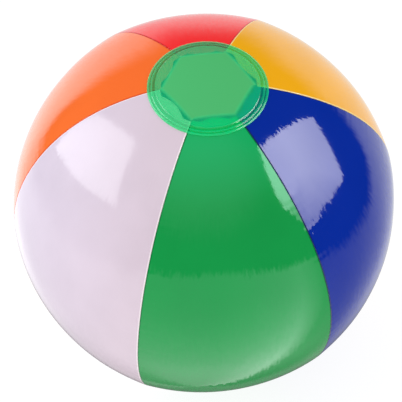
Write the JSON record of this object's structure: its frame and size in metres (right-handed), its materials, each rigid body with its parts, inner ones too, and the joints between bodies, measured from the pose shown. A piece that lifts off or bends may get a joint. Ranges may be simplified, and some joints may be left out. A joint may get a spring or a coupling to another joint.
{
  "type": "inflatable beach ball",
  "caption": "Inflated round beach ball of coloured film gores with a translucent cap over each pole and a push-in inflation valve with a tethered stopper.",
  "frame": {"origin": "the ball's centre", "axes": "+Z is the polar axis that all the seams share, upwards as the ball rests on its lower cap; -Y looks at the green gore between the white and blue ones; +X follows by the right hand"},
  "size_m": [0.2599, 0.2598, 0.2607],
  "materials": {
    "film_green": "gloss",
    "film_blue": "gloss",
    "film_yellow": "gloss",
    "film_red": "gloss",
    "film_orange": "gloss",
    "film_white": "gloss",
    "cap_film": "satin",
    "valve_vinyl": "satin"
  },
  "bodies": {
    "ball": {"panel_green": "film_green", "panel_blue": "film_blue", "panel_yellow": "film_yellow", "panel_red": "film_red", "panel_orange": "film_orange", "panel_white": "film_white", "top_cap": "cap_film", "bottom_cap": "cap_film", "valve_flange": "valve_vinyl", "valve_neck": "valve_vinyl"},
    "stem": {"valve_stem": "valve_vinyl", "stopper_strap": "valve_vinyl"},
    "stopper": {"stopper": "valve_vinyl"},
    "flap": {"check_flap": "valve_vinyl"}
  },
  "joints": [
    {"name": "stem_pull", "type": "slide", "parent": "ball", "child": "stem", "axis": [-0.1271, 0.9047, 0.4067], "range_m": [0, 0.014], "deforming": ["valve_neck"]},
    {"name": "stopper_open", "type": "hinge", "parent": "stem", "child": "stopper", "pos_m": [-0.01587, 0.11292, 0.05909], "axis": [0.9903, 0.1392, 0], "range_deg": [0, 115], "deforming": ["stopper_strap"]},
    {"name": "check_flap_open", "type": "hinge", "parent": "stem", "child": "flap", "pos_m": [-0.01453, 0.1034, 0.05153], "axis": [-0.9903, -0.1392, 0], "range_deg": [0, 40], "stiffness_Nm_per_rad": 0.000006, "springref_deg": -20.05}
  ]
}
